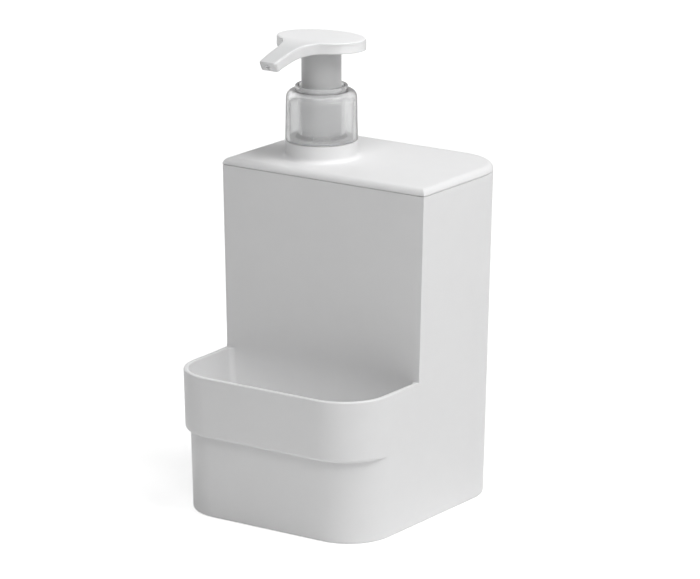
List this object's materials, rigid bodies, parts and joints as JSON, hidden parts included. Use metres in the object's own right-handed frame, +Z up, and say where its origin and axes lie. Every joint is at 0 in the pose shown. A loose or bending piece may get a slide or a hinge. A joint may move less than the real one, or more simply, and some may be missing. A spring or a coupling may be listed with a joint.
{
  "type": "soap pump caddy",
  "caption": "Liquid soap tank with a sponge tray moulded to its front, a lid with an off-centre neck, and a lift-out lotion pump with a press and swivel head.",
  "frame": {"origin": "on the ground under the middle of the body's width and depth", "axes": "+Z up, +X to the right of somebody who faces the sponge tray, -Y out of the front through the sponge tray"},
  "size_m": [0.096, 0.1068, 0.1845],
  "materials": {
    "white_body": "satin white moulding",
    "white_lid": "satin white moulding",
    "seal": "soft matt",
    "clear_collar": "smoky translucent",
    "collar_floor": "smoky translucent",
    "natural_plastic": "natural milky plastic",
    "ball_steel": "polished",
    "tube_plastic": "translucent",
    "spring_steel": "drawn wire",
    "piston_plastic": "soft milky plastic",
    "grey_sleeve": "satin grey",
    "clear_head": "frosted translucent"
  },
  "bodies": {
    "caddy": {"tank_body": "white_body", "top_cover": "white_lid"},
    "pump_core": {"pump_housing": "natural_plastic", "neck_gasket": "seal", "stem_guide": "natural_plastic", "ball_retainer": "natural_plastic", "dip_tube": "tube_plastic", "main_spring": "spring_steel"},
    "collar": {"collar_shell": "clear_collar", "collar_thread_ring": "collar_floor"},
    "plunger": {"piston_rod": "natural_plastic"},
    "slip_piston": {"piston": "piston_plastic"},
    "head": {"pump_stem": "natural_plastic", "head_sleeve": "grey_sleeve", "pump_head": "clear_head"},
    "check_ball": {"inlet_ball": "ball_steel"}
  },
  "joints": [
    {"name": "pump_lift", "type": "slide", "parent": "caddy", "child": "pump_core", "axis": [0, 0, 1], "range_m": [0, 0.15]},
    {"name": "collar_turn", "type": "hinge", "parent": "pump_core", "child": "collar", "pos_m": [-0.0174, 0.0139, 0.15], "axis": [0, 0, 1], "range_deg": [0, 540]},
    {"name": "head_press", "type": "slide", "parent": "pump_core", "child": "plunger", "axis": [0, 0, -1], "range_m": [0, 0.012], "stiffness_N_per_m": 600, "springref_m": -0.01, "deforming": ["main_spring"]},
    {"name": "piston_slip", "type": "slide", "parent": "plunger", "child": "slip_piston", "axis": [0, 0, 1], "range_m": [0, 0.001]},
    {"name": "head_swivel", "type": "hinge", "parent": "plunger", "child": "head", "pos_m": [-0.0174, 0.0139, 0.18], "axis": [0, 0, 1], "continuous": true},
    {"name": "ball_lift", "type": "slide", "parent": "pump_core", "child": "check_ball", "axis": [0, 0, 1], "range_m": [0, 0.0015]}
  ]
}
